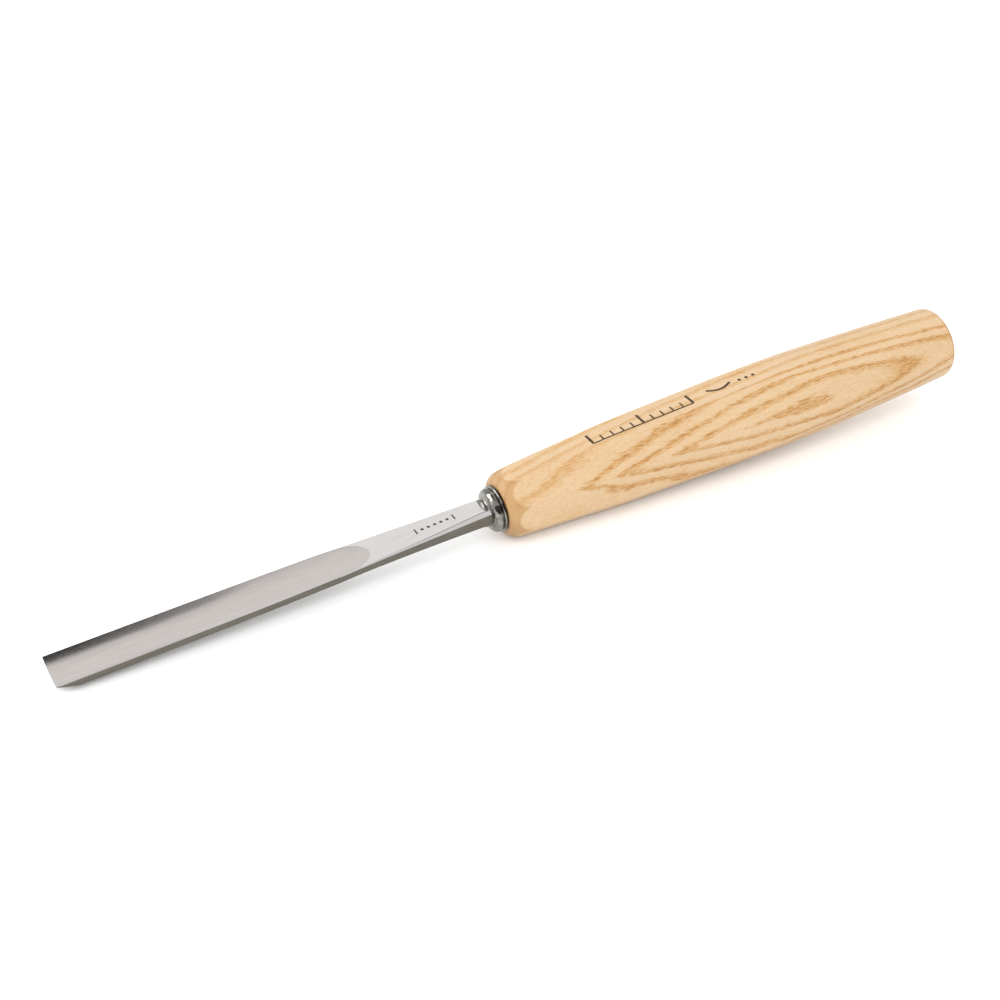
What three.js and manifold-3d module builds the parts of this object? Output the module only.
// Shallow-sweep carving gouge with an octagonal ash handle.
// Units are millimetres. In the tool's own frame +X runs along the handle axis from the cutting edge to
// the butt, +Z is the upper side, and x = 0 is where the steel collar meets the wood. The outer group then
// lays the tool down as it rests on a bench, on the heel of its bevel and on the handle's lower flat.

import * as THREE from "three";
import { mergeVertices } from "three/addons/utils/BufferGeometryUtils.js";
import Module from "manifold-3d";

const wasm = await Module();
wasm.setup();

// Driving dimensions.
const EDGE_X = -95.2;
const HANDLE_LENGTH = 115.4;
const FIT_GAP = 0.3;

// Handle section: half the distance between corners at each station along the handle.
const BODY_RADIUS = [
  [0, 7.55],
  [10, 8.3],
  [26, 9.374],
  [36, 9.7],
  [49, 10.07],
  [58, 10.28],
  [67, 10.13],
  [77, 9.85],
  [86, 9.55],
  [96, 9.17],
  [106, 8.74],
  [HANDLE_LENGTH, 8.3],
];
const NOSE_RADIUS = [
  [0, 5.5],
  [0.4, 6.1],
  [1.2, 6.8],
  [2.6, 7.4],
  [5, 7.95],
  [8, 8.5],
];
const FLAT_RATIO = Math.cos(Math.PI / 8);
const FLAT_FADE_START = 56;
const FLAT_FADE_END = 84;
const BUTT_ROUNDING = 0.95;
const BUTT_ROUNDING_STEPS = 4;
const HANDLE_SIDES = 48;
const BENCH_FLAT = [10, 26];
const NOSE_STATIONS = [0, 0.4, 1.2, 2.6, 3.8, 5, 6.5, 8];
const BARREL_STATIONS = [...BENCH_FLAT, 36, 49, 58, 62, 67, 72, 77, 81, 86, 96, 106];

// Bores in the handle, drilled from a little in front of it.
const BORE_MOUTH_X = -1;
const FERRULE_SEAT_RADIUS = 4.8;
const FERRULE_SEAT_DEPTH = 11.3;
const TANG_BORE_RADIUS = 3.6;
const TANG_BORE_DEPTH = 40;
const PILOT_BORE_RADIUS = 2.4;
const PILOT_BORE_DEPTH = 73;
const BORE_SIDES = 24;

// Inner ferrule: a plain steel ring.
const FERRULE_OUTER_RADIUS = FERRULE_SEAT_RADIUS - FIT_GAP;
const FERRULE_INNER_RADIUS = 3.75;
const FERRULE_START = FIT_GAP;
const FERRULE_LENGTH = 10.5;

// Blade: half-width and height of its upper side at each station.
const TOP_HALF_WIDTH = [
  [EDGE_X, 5.0],
  [-65, 4.88],
  [-40.5, 4.55],
  [-31.7, 4.02],
  [-24.6, 3.6],
  [-16, 2.98],
  [-9, 2.46],
  [0, 1.9],
];
const TOP_HEIGHT = [
  [EDGE_X, 1.43],
  [-65, 1.38],
  [-34, 1.5],
  [-16, 1.8],
  [0, 2.25],
];
const SIDE_HALF_WIDTH = [
  [EDGE_X, 5.0],
  [-65, 4.9],
  [-40.5, 4.62],
  [-31.7, 4.18],
  [-24.6, 3.9],
  [-16, 3.58],
  [-9, 3.34],
  [0, 3.12],
];
const BEVEL_OF_CORNER = [
  [EDGE_X, 0.04],
  [-40.5, 0.08],
  [-31.7, 0.13],
  [-24.6, 0.2],
  [-16, 0.38],
  [-9, 0.52],
  [0, 0.68],
];
const SIDE_BOTTOM_HEIGHT = [
  [EDGE_X, 0.03],
  [-65, 0.0],
  [-34, 0.05],
  [-16, -0.43],
  [0, -1.15],
];
const UNDERSIDE_HEIGHT = [
  [-60, -1.4],
  [-34, -1.35],
  [-16, -1.75],
  [0, -2.5],
];
const MIN_SIDE_HEIGHT = 0.02;

// Hollow: its cross radius grows towards the shank, and it ends in a round arc on the flat.
const SWEEP_RADIUS = [
  [EDGE_X, 14],
  [-65, 14],
  [-52, 19],
  [-40.5, 22],
  [-29.4, 22],
];
const ARC_START_X = -34.9;
const ARC_LENGTH = 5.5;

// Outside bevel: thickness under the hollow grows from the edge to the heel, on a slightly rounded face.
const HEEL_X = -88.6;
const EDGE_LAND = 0.06;
const BEVEL_SLOPE = 0.36;
const BEVEL_BELLY = 0.008;
const BEVEL_REACH = 8.6;

const BLADE_TOP_POINTS = 13;
const BLADE_UNDER_POINTS = 9;
const BEVEL_STATIONS = [EDGE_X, -94, -92.8, -91.6, -90.6, -89.6, HEEL_X, -86];
const HOLLOW_STATIONS = [-76, -65, -58, -52, -46, -40.5, -36.5];
const ARC_STATIONS = [ARC_START_X, -34, -33, -32.2, -31.4, -30.7, -30.1, -29.7, ARC_START_X + ARC_LENGTH];
const SHANK_STATIONS = [-24.6, -20, -16, -9, -2.9];

// Collar: turned profile as [x, radius], from the shank to the face against the wood.
const COLLAR_PROFILE = [
  [-4.05, 0],
  [-4.05, 2.0],
  [-3.6, 3.05],
  [-3.1, 3.05],
  [-2.7, 3.6],
  [-2.4, 4.2],
  [-2.0, 4.6],
  [-1.5, 4.8],
  [-1.1, 4.75],
  [-0.92, 4.72],
  [-0.8, 5.1],
  [-0.55, 5.2],
  [-FIT_GAP, 5.15],
  [-FIT_GAP, 0],
];
const COLLAR_SIDES = 40;

// Tang: a square spike that tapers into the handle.
const TANG_ROOT_SIDE = 4.6;
const TANG_TIP_SIDE = 1.4;
const TANG_LENGTH = 70;
const TANG_OVERLAP = 1;

const MERGE_DISTANCE = 1e-4;

// Straight-line reading of a table of [x, value] rows.
function along(table, x) {
  let row = 1;
  while (row < table.length - 1 && x > table[row][0]) {
    row += 1;
  }
  const [x0, value0] = table[row - 1];
  const [x1, value1] = table[row];
  const share = (x - x0) / (x1 - x0);
  return value0 + (value1 - value0) * share;
}

function smoothStep(x, start, end) {
  const share = Math.min(Math.max((x - start) / (end - start), 0), 1);
  return share * share * (3 - 2 * share);
}

// Closed solid through equal-sized rings of points, each ring running over the top from +Y to -Y.
function loft(rings) {
  const size = rings[0].length;
  const positions = [];
  const indices = [];
  for (const ring of rings) {
    for (const point of ring) {
      positions.push(...point);
    }
  }
  for (let ring = 0; ring < rings.length - 1; ring += 1) {
    for (let side = 0; side < size; side += 1) {
      const here = ring * size + side;
      const next = ring * size + ((side + 1) % size);
      indices.push(here, next, here + size);
      indices.push(next, next + size, here + size);
    }
  }
  closeEnd(positions, indices, rings[0], 0, true);
  closeEnd(positions, indices, rings[rings.length - 1], (rings.length - 1) * size, false);
  const geometry = new THREE.BufferGeometry();
  geometry.setAttribute("position", new THREE.Float32BufferAttribute(positions, 3));
  geometry.setIndex(indices);
  return geometry;
}

// Fan from the ring's middle over one end of a loft.
function closeEnd(positions, indices, ring, first, facesBack) {
  const middle = ring.reduce((sum, point) => sum.map((value, axis) => value + point[axis] / ring.length),
    [0, 0, 0]);
  const centre = positions.length / 3;
  positions.push(...middle);
  for (let side = 0; side < ring.length; side += 1) {
    const here = first + side;
    const next = first + ((side + 1) % ring.length);
    indices.push(centre, facesBack ? next : here, facesBack ? here : next);
  }
}

// Solid of revolution about the X axis from a profile of [x, radius] points.
function turned(profile, sides) {
  const points = profile.map(([x, radius]) => new THREE.Vector2(radius, x));
  const geometry = new THREE.LatheGeometry(points, sides);
  geometry.rotateZ(-Math.PI / 2);
  return geometry;
}

// Boolean solid from a closed geometry.
function toSolid(geometry) {
  const bare = geometry.clone();
  bare.deleteAttribute("normal");
  bare.deleteAttribute("uv");
  const merged = mergeVertices(bare, MERGE_DISTANCE);
  const vertProperties = new Float32Array(merged.attributes.position.array);
  const triVerts = new Uint32Array(withoutSlivers(merged.index.array));
  return new wasm.Manifold(new wasm.Mesh({ numProp: 3, vertProperties, triVerts }));
}

// Drops the triangles that merging has folded onto a line, such as those at a lathe's poles.
function withoutSlivers(indices) {
  const kept = [];
  for (let first = 0; first < indices.length; first += 3) {
    const [a, b, c] = indices.slice(first, first + 3);
    if (a !== b && b !== c && c !== a) {
      kept.push(a, b, c);
    }
  }
  return kept;
}

function toGeometry(solid) {
  const result = solid.getMesh();
  const geometry = new THREE.BufferGeometry();
  geometry.setAttribute("position", new THREE.BufferAttribute(result.vertProperties, 3));
  geometry.setIndex(new THREE.BufferAttribute(result.triVerts, 1));
  geometry.computeVertexNormals();
  return geometry;
}

function namedMesh(name, solid, material) {
  const mesh = new THREE.Mesh(toGeometry(solid), material);
  mesh.name = name;
  return mesh;
}

// ---- The bench line that the tool rests on ----

function flatDistance(x) {
  const body = along(BODY_RADIUS, x);
  const faded = FLAT_RATIO + (1 - FLAT_RATIO) * smoothStep(x, FLAT_FADE_START, FLAT_FADE_END);
  return body * faded;
}

const [flatStart, flatEnd] = BENCH_FLAT;
const benchSlope = (flatDistance(flatEnd) - flatDistance(flatStart)) / (flatEnd - flatStart);
const restAngle = Math.atan(benchSlope);

function benchHeight(x) {
  return -flatDistance(flatStart) - benchSlope * (x - flatStart);
}

// ---- Ash handle ----

function handleRadius(x, angle) {
  const facet = Math.PI / 4;
  const offset = angle - Math.round(angle / facet) * facet;
  const flat = flatDistance(x) / Math.cos(offset);
  const nose = x < NOSE_RADIUS[NOSE_RADIUS.length - 1][0] ? along(NOSE_RADIUS, x) : Infinity;
  return Math.min(flat, nose, along(BODY_RADIUS, x));
}

function handleRing(x, shrink) {
  const ring = [];
  for (let side = 0; side < HANDLE_SIDES; side += 1) {
    const angle = (side / HANDLE_SIDES) * 2 * Math.PI;
    const radius = handleRadius(x, angle) - shrink;
    ring.push([x, -radius * Math.sin(angle), radius * Math.cos(angle)]);
  }
  return ring;
}

function handleBore() {
  const drillPoint = PILOT_BORE_DEPTH + PILOT_BORE_RADIUS / 2;
  return turned([
    [BORE_MOUTH_X, 0],
    [BORE_MOUTH_X, FERRULE_SEAT_RADIUS],
    [FERRULE_SEAT_DEPTH, FERRULE_SEAT_RADIUS],
    [FERRULE_SEAT_DEPTH, TANG_BORE_RADIUS],
    [TANG_BORE_DEPTH, TANG_BORE_RADIUS],
    [TANG_BORE_DEPTH, PILOT_BORE_RADIUS],
    [PILOT_BORE_DEPTH, PILOT_BORE_RADIUS],
    [drillPoint, 0],
  ], BORE_SIDES);
}

function makeHandle() {
  const stations = [...NOSE_STATIONS, ...BARREL_STATIONS, HANDLE_LENGTH - BUTT_ROUNDING];
  const rings = stations.map((x) => handleRing(x, 0));
  for (let step = 1; step <= BUTT_ROUNDING_STEPS; step += 1) {
    const turn = (step / BUTT_ROUNDING_STEPS) * (Math.PI / 2);
    const x = HANDLE_LENGTH - BUTT_ROUNDING * (1 - Math.sin(turn));
    rings.push(handleRing(x, BUTT_ROUNDING * (1 - Math.cos(turn))));
  }
  const solid = toSolid(loft(rings)).subtract(toSolid(handleBore()));
  const ash = new THREE.MeshStandardMaterial({ color: 0xe3bd86, roughness: 0.55, metalness: 0 });
  return namedMesh("handle", solid, ash);
}

// ---- Inner ferrule ----

function makeInnerFerrule() {
  const end = FERRULE_START + FERRULE_LENGTH;
  const ring = turned([
    [FERRULE_START, FERRULE_INNER_RADIUS],
    [FERRULE_START, FERRULE_OUTER_RADIUS],
    [end, FERRULE_OUTER_RADIUS],
    [end, FERRULE_INNER_RADIUS],
    [FERRULE_START, FERRULE_INNER_RADIUS],
  ], BORE_SIDES);
  const steel = new THREE.MeshStandardMaterial({ color: 0x9a9a98, roughness: 0.45, metalness: 1 });
  return namedMesh("inner_ferrule", toSolid(ring), steel);
}

// ---- Blade forging: gouge, shank, collar and tang in one piece ----

// Height of a round hollow's side above its middle, at a distance from the middle.
function hollowRise(radius, distance) {
  return radius - Math.sqrt(radius ** 2 - distance ** 2);
}

// Half-width of the hollow where it meets the flat upper side.
function hollowHalfWidth(x) {
  const full = along(TOP_HALF_WIDTH, x);
  if (x <= ARC_START_X) {
    return full;
  }
  const share = Math.min((x - ARC_START_X) / ARC_LENGTH, 1);
  return full * Math.sqrt(1 - share ** 2);
}

function upperHeight(x, y) {
  const top = along(TOP_HEIGHT, x);
  const radius = along(SWEEP_RADIUS, Math.min(x, ARC_START_X + ARC_LENGTH));
  const hollow = top - hollowRise(radius, hollowHalfWidth(x)) + hollowRise(radius, y);
  return Math.min(top, hollow);
}

// Middle of the underside: the heel of the bevel stands on the bench.
function undersideMiddle(x) {
  const [first, firstHeight] = UNDERSIDE_HEIGHT[0];
  if (x >= first) {
    return along(UNDERSIDE_HEIGHT, x);
  }
  const share = Math.min((first - x) / (first - HEEL_X), 1);
  return firstHeight + (benchHeight(HEEL_X) - firstHeight) * share * share;
}

function underHeight(x, y) {
  const halfWidth = along(SIDE_HALF_WIDTH, x);
  const side = along(SIDE_BOTTOM_HEIGHT, x);
  const middle = undersideMiddle(x);
  const body = middle + (side - middle) * (y / halfWidth) ** 2;
  const fromEdge = x - EDGE_X;
  if (fromEdge > BEVEL_REACH) {
    return body;
  }
  const bevel = EDGE_LAND + BEVEL_SLOPE * fromEdge - BEVEL_BELLY * fromEdge ** 2;
  return Math.max(body, upperHeight(x, y) - bevel);
}

function bladeRing(x) {
  const ring = [];
  const topWidth = along(TOP_HALF_WIDTH, x);
  const sideWidth = along(SIDE_HALF_WIDTH, x);
  const corner = along(BEVEL_OF_CORNER, x);
  const flatWidth = Math.min(topWidth, sideWidth - corner / 2);
  for (let point = 0; point < BLADE_TOP_POINTS; point += 1) {
    const y = flatWidth * (1 - (2 * point) / (BLADE_TOP_POINTS - 1));
    ring.push([x, y, upperHeight(x, y)]);
  }
  const lowest = underHeight(x, sideWidth) + MIN_SIDE_HEIGHT;
  const cornerHeight = Math.max(upperHeight(x, sideWidth) - corner, lowest);
  ring.push([x, -sideWidth, cornerHeight]);
  for (let point = 0; point < BLADE_UNDER_POINTS; point += 1) {
    const y = sideWidth * (-1 + (2 * point) / (BLADE_UNDER_POINTS - 1));
    ring.push([x, y, underHeight(x, y)]);
  }
  ring.push([x, sideWidth, cornerHeight]);
  return ring;
}

function gougeAndShank() {
  const stations = [...BEVEL_STATIONS, ...HOLLOW_STATIONS, ...ARC_STATIONS, ...SHANK_STATIONS];
  return loft(stations.map(bladeRing));
}

function squareRing(x, side) {
  const half = side / 2;
  return [[x, half, half], [x, -half, half], [x, -half, -half], [x, half, -half]];
}

function tang() {
  return loft([
    squareRing(-TANG_OVERLAP, TANG_ROOT_SIDE),
    squareRing(TANG_LENGTH - TANG_TIP_SIDE, TANG_TIP_SIDE),
    squareRing(TANG_LENGTH, TANG_TIP_SIDE / 4),
  ]);
}

function makeBlade() {
  const collar = toSolid(turned(COLLAR_PROFILE, COLLAR_SIDES));
  const solid = toSolid(gougeAndShank()).add(collar).add(toSolid(tang()));
  const steel = new THREE.MeshStandardMaterial({ color: 0xb9b6b2, roughness: 0.3, metalness: 1 });
  return namedMesh("blade", solid, steel);
}

// ---- Assembly, laid down on the bench with the origin under the middle of its box ----

function makeGouge() {
  const tool = new THREE.Group();
  tool.add(makeBlade(), makeInnerFerrule(), makeHandle());
  tool.rotation.y = -restAngle;
  const placed = new THREE.Group();
  placed.add(tool);
  placed.updateMatrixWorld(true);
  const box = new THREE.Box3().setFromObject(placed, true);
  const middle = box.getCenter(new THREE.Vector3());
  tool.position.set(-middle.x, -middle.y, -box.min.z);
  return placed;
}

export default makeGouge();
